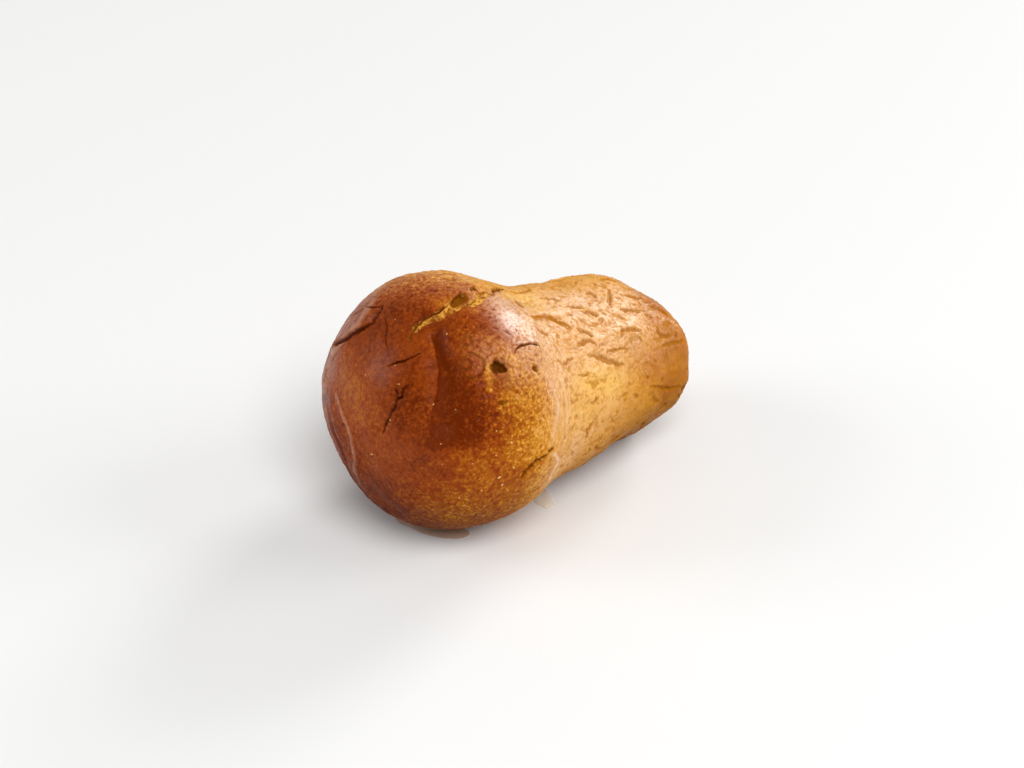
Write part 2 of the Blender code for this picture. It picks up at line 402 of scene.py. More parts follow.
def layTrail(rows, corners, width, depth, lip, golden, tint=trail["tint"], waver=1.0):
    curve = smoothRoute(corners, trail["step"] * mm)
    reach = trail["waver"] * mm
    otherPlace = Vector((7, 0, 0))  # so that the width doesn't follow the waver
    for i, point in enumerate(curve):
        place, normal = onSkin(point)
        share = i / max(len(curve) - 1, 1)
        fade = min(min(share, 1 - share) / trail["endShare"], 1)
        fade = trail["endDepth"] + (1 - trail["endDepth"]) * fade
        ahead = (curve[min(i + 1, len(curve) - 1)] - curve[max(i - 1, 0)]).normalized()
        across = normal.cross(ahead)
        sway = noise.noise(place / (trail["waverSize"] * mm))
        sway += trail["fineShare"] * noise.noise(place / (trail["fineSize"] * mm))
        uneven = 1 + trail["unevenness"] * noise.noise(place / (trail["unevenSize"] * mm) + otherPlace)
        place, _ = onSkin(place + across * sway * waver * reach)
        narrowed = width * (1 - trail["taper"] + trail["taper"] * fade) * uneven
        rows.append((place, narrowed, depth * fade * uneven, lip * fade, golden, tint))


def around(place, radius, steps):  # places on a circle in the skin
    middle, normal = onSkin(place)
    across = normal.cross(Vector((0, 0, 1))).normalized()
    up = normal.cross(across)
    turns = [i / steps * math.tau for i in range(steps + 1)]
    return [middle + (across * math.cos(t) + up * math.sin(t)) * radius * mm for t in turns]


def markSheet(name, rows):  # the trails as one mesh of points for the relief tree
    mesh = bpy.data.meshes.new(name)
    mesh.from_pydata([row[0] for row in rows], [], [])
    for i, what in enumerate(("width", "depth", "lip", "golden", "tint")):
        scale = 1 if what in ("golden", "tint") else mm
        giveValues(mesh, what, [row[1 + i] * scale for row in rows])
    return showObject(name, mesh)


def spacedSpots(chooser, count, tries, spacing, allowed):
    spots = []
    points = pointsOf(crust.data)
    for _ in range(tries):
        point = Vector(points[chooser.randrange(len(points))])
        if len(spots) == count:
            break
        if allowed(point) and all((point - other).length > spacing * mm for other in spots):
            spots.append(point)
    return spots


def placeOf(point):
    heights, bearings = heightsAndBearings(np.array([point]))
    return heights[0], math.degrees(bearings[0]) % 360


def crackRows():
    rows = []
    for width, depth, lip, golden, route in cracks.values():
        layTrail(rows, [turnedPlace(*place) for place in route], width, depth, lip, golden)
    for width, depth, route in grooves["lines"]:
        layTrail(rows, [turnedPlace(*place) for place in route], width, depth, grooves["lip"],
                 grooves["golden"], grooves["tint"], grooves["waver"])
    for radius, depth, golden, place in pits.values():
        middle, _ = onSkin(turnedPlace(*place))
        rows.append((middle, radius, depth, pitLip, golden, 1))
    for radius, place in blisters.values():
        corners = around(turnedPlace(*place), radius, ring["steps"])
        layTrail(rows, corners, ring["width"], ring["depth"], ring["lip"], ring["golden"], ring["tint"],
                 ring["waver"])
    return rows


def addScatter(rows):
    taken = [row[0] for row in rows]
    made = scatteredGrooves
    chooser = random.Random(made["seed"])
    near = KDTree(len(taken))
    for i, point in enumerate(taken):
        near.insert(point, i)
    near.balance()

    def onStem(point):
        return placeOf(point)[0] < made["highest"] and near.find(point)[2] > made["clear"] * mm

    for middle in spacedSpots(chooser, made["count"], made["tries"], made["spacing"], onStem):
        _, normal = onSkin(middle)
        along = axisWay - normal * axisWay.dot(normal)
        turn = chooser.gauss(0, made["turn"] / 2)
        if along.length < made["leastAlong"]:
            along = Vector((0, 1, 0)) - normal * normal.y
            turn = chooser.uniform(0, 180)
        along = Matrix.Rotation(math.radians(turn), 3, normal) @ along.normalized()
        half = chooser.uniform(*made["length"]) / 2 * mm
        bow = normal.cross(along) * half * 2 * chooser.uniform(-made["curl"], made["curl"])
        corners = [middle - along * half, middle + bow, middle + along * half]
        layTrail(rows, corners, chooser.uniform(*made["width"]), chooser.uniform(*made["depth"]), made["lip"],
                 chooser.uniform(*made["golden"]), made["tint"], made["waver"])
    made = scatteredPores
    chooser = random.Random(made["seed"])

    def onHead(point):
        return placeOf(point)[0] > scatteredGrooves["highest"] and near.find(point)[2] > made["clear"] * mm

    for middle in spacedSpots(chooser, made["count"], made["tries"], made["spacing"], onHead):
        rows.append((middle, chooser.uniform(*made["radius"]), chooser.uniform(*made["depth"]), made["lip"],
                     chooser.uniform(*made["golden"]), made["tint"]))


def ridgeRows():
    rows = []
    for width, height, glazed, route in ridges.values():
        layTrail(rows, [turnedPlace(*place) for place in route], width, -height, 0, glazed, waver=ridgeWaver)
    return rows


crackTrail = crackRows()
fineRows = list(crackTrail)
addScatter(crackTrail)
crackMarks = markSheet("crackMarks", crackTrail)
ridgeMarks = markSheet("ridgeMarks", ridgeRows())
print("marks laid:", len(crackTrail), "points of cracks")


# Finer skin near the cracks
def halveNear(grid, tree, reach):
    chosen = []
    for edge in grid.edges:
        middle = (edge.verts[0].co + edge.verts[1].co) / 2
        if tree.find(middle)[2] < reach * mm:
            chosen.append(edge)
    bmesh.ops.subdivide_edges(grid, edges=chosen, cuts=1, use_grid_fill=True)


def refineSkin():
    grid = bmesh.new()
    grid.from_mesh(crust.data)
    for rows, reach in ((crackTrail, skin["fineReach"]), (fineRows, skin["finestReach"])):
        tree = KDTree(len(rows))
        for i, row in enumerate(rows):
            tree.insert(row[0], i)
        tree.balance()
        halveNear(grid, tree, reach)
    bmesh.ops.triangulate(grid, faces=grid.faces)
    grid.to_mesh(crust.data)
    grid.free()
    crust.data.shade_smooth()


refineSkin()
print("finer skin:", len(crust.data.polygons), "triangles")


# How brown (with some painted shade), pebbled and smooth the skin is from place to place
spotStep = 1.5  # mm between the points of a spot's route


def nearRoute(points, route, reach):  # 1 on a route, fading to 0 over the reach in mm
    corners = [onSkin(turnedPlace(*place))[0] for place in route]
    gaps = np.full(len(points), np.inf)
    for place in smoothRoute(corners, spotStep * mm):
        gaps = np.minimum(gaps, np.linalg.norm(points - np.array(place), axis=1))
    return np.exp(-(gaps / (reach * mm)) ** 2)


def addSpots(values, points, spots):  # each spot adds its amount, fading over its reach
    for amount, reach, route in spots.values():
        values = values + amount * nearRoute(points, route, reach)
    return values


# How brown the oven left it, with painted shade in some hollows and low places: first by height, then darker
# (+) or paler (-) spots: amount, reach, places
browning = {
    "heights": [0, 3, 12, 30, 50, 58, 66, 74, 84, 110],
    "levels": [0.36, 0.24, 0.16, 0.11, 0.09, 0.14, 0.36, 0.58, 0.74, 0.84],
}
brownAndShadeSpots = {
    "domeFront": (0.06, 16, [(104, 60), (106, 120)]),
    "darkTop": (0.1, 9, [(92, 352), (97, 345), (100, 350)]),
    # painted shade under the split's lip
    "shadeBesideSplit": (0.12, 1.6, [(92, 3), (89, 5), (86, 4.5), (81, 1.5), (77, 359.5), (73, 357)]),
    # painted shade in the dent beside the left glaze ridge
    "leftDentShade": (0.16, 3, leftHollow),
    # painted shade at the foot of the valley
    "valleyFootShade": (0.12, 6, [(86, 64), (87, 58)]),
    "lobeTan": (-0.22, 5, [(78.6, 40), (82.1, 36.3), (77, 45.7)]),
    "flakeTan": (-0.22, 3.5, [(82.6, 58.9), (80.5, 60)]),
    "lowerRight": (0.18, 6, [(78.7, 106), (78.7, 100)]),
    "lowerMiddle": (-0.16, 5, [(92.6, 86), (89.3, 97.4)]),
    "capLow": (0.08, 6, [(78.7, 83.4), (75.7, 77.2)]),
    "crumbSide": (-0.28, 3, [(82.1, 3.2), (84.5, 3.2)]),
    "lobeTop": (0.14, 4.5, [(80.5, 26), (77, 28)]),
    "domeMiddle": (0.14, 5, [(105, 42), (106, 56)]),
    "domeTan": (-0.08, 8, [(108.7, 333), (108.2, 110)]),
    # painted shade low on the dome, near the table
    "shadeUnderDome": (0.14, 8, [(103, 148.4), (95.3, 145.7)]),
    "redDome": (-0.14, 10, [(107, 330), (109, 20), (108, 60)]),
    "redRim": (-0.12, 8, [(104, 280), (98, 300)]),
    "paleShoulder": (-0.26, 11, [(74, 340), (84, 320)]),
    "paleSide": (-0.22, 13, [(72, 86), (76, 98), (80, 112), (88, 130)]),
    "paleUnder": (-0.16, 14, [(80, 150), (92, 150), (98, 130)]),
    "paleLobe": (-0.16, 8, [(74, 56), (79, 70), (77, 80)]),
    "yellowBelly": (-0.10, 7, [(42, 66), (40, 78)]),
    "flake": (-0.45, 1.0, [(84.2, 43.5), (84.9, 46), (85.3, 50), (85.6, 53.4)]),
    "footTop": (0.12, 8, [(10, 30), (8, 20)]),
    "amberFoot": (0.32, 9, [(17, 66), (9, 64), (5, 76), (12, 84)]),
    "amberTop": (0.14, 8, [(6, 40), (4, 10)]),
}
# How thick the glaze lies: the least, the share lost where the skin is soaked and in the valley, then where
# the brush and the syrup left more: amount, reach, places
glaze = {"least": 0.04, "soakedLoss": 0.9, "valleyLoss": 0.9}
glazeSpots = {
    "stemTop": (0.62, 16, [(8, 25), (30, 25), (50, 25), (60, 30)]),
    "stemSide": (0.8, 11, [(30, 60), (45, 70), (56, 60)]),
    "lobeGleam": (0.85, 7.5, [(64, 24), (69, 30), (69, 46)]),
    "neckGleam": (0.5, 8, [(60, 50), (62, 70)]),
    "leftDome": (0.25, 17, [(106, 300), (108, 20), (106, 60)]),
    "leftRim": (0.35, 9, [(104, 270), (98, 300), (92, 320)]),
    "valleyEdge": (-0.3, 6, [(102, 36), (104, 60)]),
}
# Where the split opened on golden crumb: how wide (mm), and its places
openCrumb = {
    "mouth": (2.7, [(82, 6.8), (77.9, 7.8), (75.8, 8.7), (73.4, 5.4), (70.3, 2.4)]),
    "middle": (1.5, [(88.3, 8.9), (85.3, 8.6), (82, 6.8)]),
    "tip": (1.05, [(94.3, 6.3), (92.3, 7.2), (90.4, 8.9), (88.3, 8.9)]),
}
# The valley between the two lobes, by bearing: the height where the dome's edge overhangs it, and where it
# has risen again (mm). The wall under the edge is steep and the other side is long.
valley = {
    "bearings": (14, 22, 28, 34, 40, 46, 54, 62, 70, 78),
    "edge": (92, 93, 94, 94.5, 96, 97, 99, 100.5, 101.5, 102),
    "risen": (87, 88.5, 89, 88.5, 88, 87, 86, 85, 84, 83),
    "wall": 1.4,
    "ends": (11, 84),
    "firstFade": 5,  # degrees from its first end
    "lookFade": 9,  # degrees from its last end, for its colour
    "dipFade": 24,  # and for its depth
    # how much darker the valley's floor is: browner crust and painted shade
    "brownAndShade": 0.5,
    "flatter": 0.6,
}
# Painted sheen, a pale rosy highlight on the skin: amount, reach, places
paintedSheenSpots = {
    "stemTop": (0.4, 8, [(18, 16), (28, 14), (38, 14), (50, 18), (58, 24)]),
    "stemMiddle": (0.35, 9, [(20, 40), (34, 44), (46, 44), (56, 48)]),
    "neck": (0.2, 6, [(60, 30), (62, 50), (62, 66)]),
    "shoulder": (0.55, 5, [(69, 12), (70, 26), (69, 34)]),
    "neckUnder": (0.35, 7, [(51, 102), (54, 106), (60, 104)]),
    "stemBack": (0.25, 6, [(46, 4), (40, 6), (34, 8)]),
    "shoulderTop": (0.1, 4, [(74.2, 20), (73.2, 26)]),
    "lobe": (0.13, 5, [(78.6, 40), (77, 45.7), (82, 37)]),
    "dome": (0.012, 14, [(104, 340), (108, 20), (107, 80)]),
    "capTop": (0.13, 9, [(74, 350), (78, 340), (84, 325)]),
    "farRim": (0.08, 6, [(104, 290), (98, 305)]),
}
# Where the crumb under the skin shines through yellow: amount, reach, places
yellowSpots = {
    "belly": (0.6, 5, [(44, 62), (40, 66), (36, 68)]),
    "foot": (0.16, 9, [(10, 66), (5, 76), (8, 50)]),
    "neckTop": (0.5, 5, [(60, 6), (54, 2), (50, 4)]),
    "neckSide": (0.3, 8, [(54, 72), (48, 82)]),
}
# Syrup that ran down soaks the underside, and the same darkening is painted shade near the table: full below
# the first height over the table, none above the second
soakedAndShadedHeights = (3, 38)
dryNeck = (0.8, 13, [(50, 98), (53, 106), (58, 110), (62, 130)])  # it stands clear: amount, reach, places
crumblyPatch = (6, [(82, 52), (80, 58), (77, 66), (83, 66), (76, 52)])  # coarse and broken: reach, places
headStart = (54, 72)  # mm from the foot: the stem's skin ends at the first, the head's is full at the second
# Where the head's pebbles are flatter: amount, reach, places
flatterSpots = {
    "dome": (0.75, 22, [(100, 20), (104, 330), (108, 80)]),
    "shoulder": (0.6, 9, paintedSheenSpots["shoulder"][2]),
    "lowRight": (0.35, 11, [(79, 100), (86, 95), (92, 92)]),
}


def valleyShare(heights, bearings, fade):  # 1 under the dome's edge, 0 outside; it fades over so many degrees
    turned = np.degrees(bearings) % 360
    edge = np.interp(turned, valley["bearings"], valley["edge"])
    risen = np.interp(turned, valley["bearings"], valley["risen"])
    first, last = valley["ends"]
    share = smoothStep((edge - heights) / valley["wall"] + 0.5)
    share *= smoothStep((heights - risen) / (edge - risen))
    return share * smoothStep((turned - first) / valley["firstFade"]) * smoothStep((last - turned) / fade)


def setSkinValues():
    mesh = crust.data
    points = pointsOf(mesh)
    heights, bearings = heightsAndBearings(points)
    inValley = valleyShare(heights, bearings, valley["lookFade"])
    giveValues(mesh, "valley", valleyShare(heights, bearings, valley["dipFade"]))
    brownAndShade = addSpots(np.interp(heights, browning["heights"], browning["levels"]), points, brownAndShadeSpots)
    # The valley's floor is browner, partly as painted shade
    giveValues(mesh, "browned", np.clip(brownAndShade + valley["brownAndShade"] * inValley, 0, 1))
    low, high = headStart
    head = smoothStep((heights - low) / (high - low))
    giveValues(mesh, "stem", 1 - head)
    pebbled = head
    for amount, reach, route in flatterSpots.values():
        pebbled = pebbled * (1 - amount * nearRoute(points, route, reach))
    giveValues(mesh, "pebbled", pebbled * (1 - valley["flatter"] * inValley))
    reach, route = crumblyPatch
    giveValues(mesh, "crumbly", nearRoute(points, route, reach))
    crumb = [nearRoute(points, route, width) for width, route in openCrumb.values()]
    giveValues(mesh, "crumb", np.max(crumb, axis=0))
    for name, spots in (("rosy", paintedSheenSpots), ("yellow", yellowSpots)):
        giveValues(mesh, name, np.clip(addSpots(0, points, spots), 0, 1))
    low, high = soakedAndShadedHeights
    amount, reach, route = dryNeck
    # Darker towards the table: soaked skin and painted shade
    soaked = smoothStep((high - points[:, 2] / mm) / (high - low))
    soaked *= 1 - amount * nearRoute(points, route, reach)
    giveValues(mesh, "soaked", soaked)
    glazed = addSpots(glaze["least"], points, glazeSpots)
    glazed *= (1 - glaze["soakedLoss"] * soaked) * (1 - glaze["valleyLoss"] * inValley)
    giveValues(mesh, "glazed", np.clip(glazed, 0, 1))


setSkinValues()
print("skin values set")


# Relief: one tree carves the marks, pebbles and torn skin
relief = {  # sizes and depths in mm
    "Lump Size": 8.0,
    "Lump Depth": 0.7,
    "Pebble Size": 1.3,
    "Pebble Depth": 0.75,
    "Grit Size": 0.75,
    "Grit Depth": 0.5,
    "Crumbly Size": 2.4,
    "Crumbly Depth": 1.0,
    "Skin Size": 4.2,
    "Skin Depth": 0.44,
    "Tear Size": 2.2,
    "Tear Depth": 0.2,
    "Plate Size": 2.6,
    "Plate Gap": 0.22,
    "Plate Step": 0.08,
    "Crease Size": 2.2,
    "Crease Depth": 0.08,
    "Waver Size": 1.0,
    "Waver": 0.24,
    "Lip Place": 1.7,
    "Crumb Size": 1.5,
    "Crumb Height": 1.9,
    "Crumb Sink": 0.9,
    "Valley Depth": 1.7,
}
reliefFades = {  # where each kind of relief starts and where it is full
    "walls": (0.15, 0.65),  # of a mark's depth
    "opened": (0.38, 0.55),
    "crumbly": (0.16, 0.0),  # a crease is full where its noise crosses the middle
    "crease": (0.02, 0.0),
    "seam": (0.11, 0.0),
    "gaping": (0.0, 0.12),
    "tear": (0.08, 0.16),
}
raggedness = {"Tear": 0.7, "Crumb": 0.6}  # how much each noise frays the edge of the open split
drawnOut = 0.5  # how far the stem's marks are drawn out along its axis
widerWaver = 3  # times as far as cracks stray, the stem's marks and the broken skin do
lipSharpness = 2


def reliefTree():
    tree, add, given = newTree("crustRelief", {
        "Cracks": "NodeSocketObject", "Ridges": "NodeSocketObject", "Material": "NodeSocketMaterial",
        **{name: "NodeSocketFloat" for name in relief}})
    fades = {name: {"From Min": start, "From Max": full} for name, (start, full) in reliefFades.items()}
    maths, vectors, ranges = "ShaderNodeMath", "ShaderNodeVectorMath", "ShaderNodeMapRange"
    position = add("GeometryNodeInputPosition", {})
    normal = add("GeometryNodeInputNormal", {})
    markValues = ("width", "depth", "lip", "golden", "tint")
    known = {name: add("GeometryNodeInputNamedAttribute", {"Name": name})
             for name in ("stem", "pebbled", "crumbly", "crumb", "valley", *markValues)}
    sizes, scales = {}, {}  # in metres, and the noise scale that a size gives
    for name in relief:
        sizes[name] = add(maths, [given[name], mm], operation="MULTIPLY")
        if name.endswith("Size"):
            scales[name] = add(maths, [1, sizes[name]], operation="DIVIDE")

    # Noise from -0.5 to 0.5, first in three channels to make straight things waver
    waver = add("ShaderNodeTexNoise", {"Vector": position, "Scale": scales["Waver Size"]}, "Color")
    waver = add(vectors, [waver, (0.5, 0.5, 0.5)], operation="SUBTRACT")
    reach = add(maths, [sizes["Waver"], 2], operation="MULTIPLY")
    near = add(vectors, {0: waver, "Scale": reach}, operation="SCALE")
    far = add(vectors, {0: near, "Scale": widerWaver}, operation="SCALE")
    strayed = add(vectors, [position, near], operation="ADD")
    farStrayed = add(vectors, [position, far], operation="ADD")
    # The stem's skin was drawn out along its axis, so its marks are longer that way
    along = add(vectors, [farStrayed, axisWay], "Value", operation="DOT_PRODUCT")
    along = add(maths, [along, -drawnOut], operation="MULTIPLY")
    drawn = add(vectors, {0: axisWay, "Scale": along}, operation="SCALE")
    drawn = add(vectors, [farStrayed, drawn], operation="ADD")
    spots = {"Lump": position, "Pebble": position, "Grit": position, "Crumbly": farStrayed, "Skin": position,
             "Tear": drawn, "Crease": drawn, "Crumb": position, "Plate": position}
    grains = {}
    for name, spot in spots.items():
        grain = add("ShaderNodeTexNoise", {"Vector": spot, "Scale": scales[name + " Size"], "Detail": 3})
        grains[name] = add(maths, [grain, 0.5], operation="SUBTRACT")

    def sampleMarks(name):  # how high the skin stands beside the nearest mark, and what the mark is like
        marks = add("GeometryNodeObjectInfo", {"Object": given[name]}, "Geometry")
        nearest = add("GeometryNodeSampleNearest", {"Geometry": marks, "Sample Position": strayed})
        spot = add("GeometryNodeSampleIndex", {"Geometry": marks, "Value": position, "Index": nearest},
                   data_type="FLOAT_VECTOR")
        found = {what: add("GeometryNodeSampleIndex",
                           {"Geometry": marks, "Value": known[what], "Index": nearest})
                 for what in markValues}
        gap = add(vectors, [strayed, spot], "Value", operation="DISTANCE")
        gap = add(maths, [gap, found["width"]], operation="DIVIDE")
        square = add(maths, [gap, gap], operation="MULTIPLY")
        steep = add(maths, [square, square], operation="MULTIPLY")
        steep = add(maths, [steep, -1], operation="MULTIPLY")
        floor = add(maths, [steep], operation="EXPONENT")
        beside = add(maths, [gap, given["Lip Place"]], operation="SUBTRACT")
        square = add(maths, [beside, beside], operation="MULTIPLY")
        square = add(maths, [square, -lipSharpness], operation="MULTIPLY")
        edge = add(maths, [square], operation="EXPONENT")
        lip = add(maths, [edge, found["lip"]], operation="MULTIPLY")
        carved = add(maths, [floor, found["depth"]], operation="MULTIPLY")
        found["lift"] = add(maths, [lip, carved], operation="SUBTRACT")
        found["floor"] = floor
        # The floor's colour, in dark cracks partly painted shade, goes up the steep walls
        walls = add(ranges, {"Value": floor, **fades["walls"]}, interpolation_type="SMOOTHSTEP")
        found["shown"] = add(maths, [walls, found["tint"]], operation="MULTIPLY")
        return found

    crack, ridge = sampleMarks("Cracks"), sampleMarks("Ridges")
    lifts = [crack["lift"], ridge["lift"]]
    # Crumb stands up in lumps on the floor of the open split, whose edge is ragged
    ragged = known["crumb"]
    for name, share in raggedness.items():
        ragged = add(maths, [grains[name], share, ragged], operation="MULTIPLY_ADD")
    opened = add(ranges, {"Value": ragged, **fades["opened"]}, interpolation_type="SMOOTHSTEP")
    crumb = add(maths, [grains["Crumb"], sizes["Crumb Height"]], operation="MULTIPLY")
    crumb = add(maths, [crumb, sizes["Crumb Sink"]], operation="SUBTRACT")
    lifts.append(add(maths, [crumb, opened], operation="MULTIPLY"))
    sunk = add(maths, [known["valley"], sizes["Valley Depth"]], operation="MULTIPLY")
    lifts.append(add(maths, [sunk, -1], operation="MULTIPLY"))
    # Each grain of relief is carved where its own part of the skin is
    grainy = add(maths, [known["pebbled"], known["stem"]], operation="ADD", use_clamp=True)
    lumpy = add(maths, [1, known["stem"]], operation="SUBTRACT")
    places = {"Lump": lumpy, "Pebble": known["pebbled"], "Grit": grainy, "Skin": known["stem"]}
    for name, where in places.items():
        lift = add(maths, [grains[name], sizes[name + " Depth"]], operation="MULTIPLY")
        lifts.append(add(maths, [lift, where], operation="MULTIPLY"))
    # Broken skin is creased sharply where its noise crosses the middle
    hollows = []
    for name, where in (("Crumbly", known["crumbly"]), ("Crease", known["stem"])):
        crease = add(maths, [grains[name]], operation="ABSOLUTE")
        crease = add(ranges, {"Value": crease, **fades[name.lower()]}, interpolation_type="SMOOTHSTEP")
        crease = add(maths, [crease, where], operation="MULTIPLY")
        hollows.append((crease, sizes[name + " Depth"]))
    # The stem's skin dried in plates at slightly different heights, and some of the gaps between them opened.
    # A plate's random colour gives its height, along the grey diagonal from -0.866 to 0.866
    cell = add("ShaderNodeTexVoronoi", {"Vector": drawn, "Scale": scales["Plate Size"]}, "Color")
    step = add(vectors, [cell, (0.577, 0.577, 0.577)], "Value", operation="DOT_PRODUCT")
    step = add(maths, [step, 0.866], operation="SUBTRACT")
    step = add(maths, [step, sizes["Plate Step"]], operation="MULTIPLY")
    lifts.append(add(maths, [step, known["stem"]], operation="MULTIPLY"))
    seam = add("ShaderNodeTexVoronoi", {"Vector": drawn, "Scale": scales["Plate Size"]},
               feature="DISTANCE_TO_EDGE")
    seam = add(ranges, {"Value": seam, **fades["seam"]}, interpolation_type="SMOOTHSTEP")
    gaping = add(ranges, {"Value": grains["Plate"], **fades["gaping"]})
    gaping = add(maths, [gaping, known["stem"]], operation="MULTIPLY")
    hollows.append((add(maths, [seam, gaping], operation="MULTIPLY"), sizes["Plate Gap"]))
    tear = add(ranges, {"Value": grains["Tear"], **fades["tear"]}, interpolation_type="SMOOTHSTEP")
    hollows.append((add(maths, [tear, known["stem"]], operation="MULTIPLY"), sizes["Tear Depth"]))

    torn, lift = 0.0, 0.0
    for share, depth in hollows:
        if depth != sizes["Crumbly Depth"]:
            torn = add(maths, [torn, share], operation="MAXIMUM")
        depth = add(maths, [depth, -1], operation="MULTIPLY")
        lifts.append(add(maths, [share, depth], operation="MULTIPLY"))
    for part in lifts:
        lift = add(maths, [lift, part], operation="ADD")
    offset = add(vectors, {0: normal, "Scale": lift}, operation="SCALE")
    # Kept before the points move: what the material needs, and the place it finds the pebbles again by
    kept = add("GeometryNodeStoreNamedAttribute",
               {"Geometry": given["Geometry"], "Name": "evenPlace", "Value": position},
               data_type="FLOAT_VECTOR")
    # The gathered glaze also paints a pale highlight along its lines
    gatheredGlazeAndSheen = add(maths, [ridge["floor"], ridge["golden"]], operation="MULTIPLY")
    shown = {"hollow": crack["shown"], "golden": crack["golden"], "torn": torn, "glazeLine": gatheredGlazeAndSheen,
             "opened": opened}
    for name, value in shown.items():
        kept = add("GeometryNodeStoreNamedAttribute", {"Geometry": kept, "Name": name, "Value": value})
    moved = add("GeometryNodeSetPosition", {"Geometry": kept, "Offset": offset})
    real = add("GeometryNodeRealizeInstances", [moved])
    dressed = add("GeometryNodeSetMaterial", {"Geometry": real, "Material": given["Material"]})
    add("NodeGroupOutput", [dressed], out=None)
    return tree


def runTree(thing, tree, values):
    modifier = thing.modifiers.new(tree.name, "NODES")
    modifier.node_group = tree
    for item in tree.interface.items_tree:
        if item.in_out == "INPUT" and item.name in values:
            modifier[item.identifier] = values[item.name]
    return bakeModifiers(thing)


def thinOut(thing, most):  # fewer triangles where the skin is even
    count = len(thing.data.polygons)
    if count > most:
        thinning = thing.modifiers.new("thinning", "DECIMATE")
        thinning.ratio = most / count
        thinning.use_collapse_triangulate = True
        bakeModifiers(thing)


# Browned brioche crust, baked in a mould, soaked in syrup and brushed with glaze. The browning runs from
# golden crumb skin to dark caramel. Syrup fills the skin, so light goes a little way in and comes out warm.
# The glaze is a clear coat with soft, wide glints, thickest where the brush and the syrup left it.
# Its colour also holds painted shade in cracks, hollows and near the table, and painted highlights on the
# raised skin and glaze lines.
crustLooks = {
    "ramp": [(0.0, "#DFA359"), (0.2, "#D1902A"), (0.45, "#B06414"), (0.7, "#933F0D"), (1.0, "#6A2504")],
    "mottleSize": 8.0,  # mm
    "mottle": 0.32,
    "speckleSize": 1.0,
    "speckle": 0.26,
    "blotchSize": 3.2,
    "blotch": 0.3,
    "granules": 0.15,  # how much more it speckles where the crust is pebbled
    # painted shade and highlight: darker hollows between the pebbles, paler tops
    "bumpShade": 0.65,  # how much browner the hollows between the pebbles are
    "bumpShadeElsewhere": 0.25,  # the share of it that the skin without pebbles has
    # painted highlight on the tallest pebbles
    "paintedPebbleHighlight": 0.14,
    "paintedPebbleHighlightHeights": (0.0, 0.3),  # of the pebbles' noise
    "goldenFloor": "#C47E08",
    # dark crust with painted shade, for the floors of cracks and pits
    "darkFloorAndShade": "#5C2006",
    "crumbFloor": ("#8A4E10", "#EBAA48"),  # between the crumbs, and on them
    "crumbHeights": (0.85, 1.1),  # of the crumbs' noise, for the two colours
    # Thin layers over the browning, in order: how much each covers, and its colour; the sheen and glaze-line
    # layers are painted highlights
    "layers": {"yellow": (1.0, "#EFBB4E"), "rosy": (1.0, "#EFC8AA"), "torn": (0.65, "#AE6C0C"),
               "glazeLine": (0.75, "#F2CBAC")},
    "openedCover": 0.9,
    "paintedSheenRaised": (3.5, 0.82),  # its gain with the pebbles' noise, and its share at middle height
    # the colour the skin near the table is multiplied by: soaked crumb and painted shade
    "soaked": "#A68C26",
    "roughSize": 2.5,
    "roughness": (0.36, 0.55),
    "fineBumpSize": 0.45,
    "fineBump": 0.12,
    "coatBumpSize": 1.0,
    "coatBump": 0.12,
    "bareShare": 0.8,  # of the glaze, gone where the skin is open
}


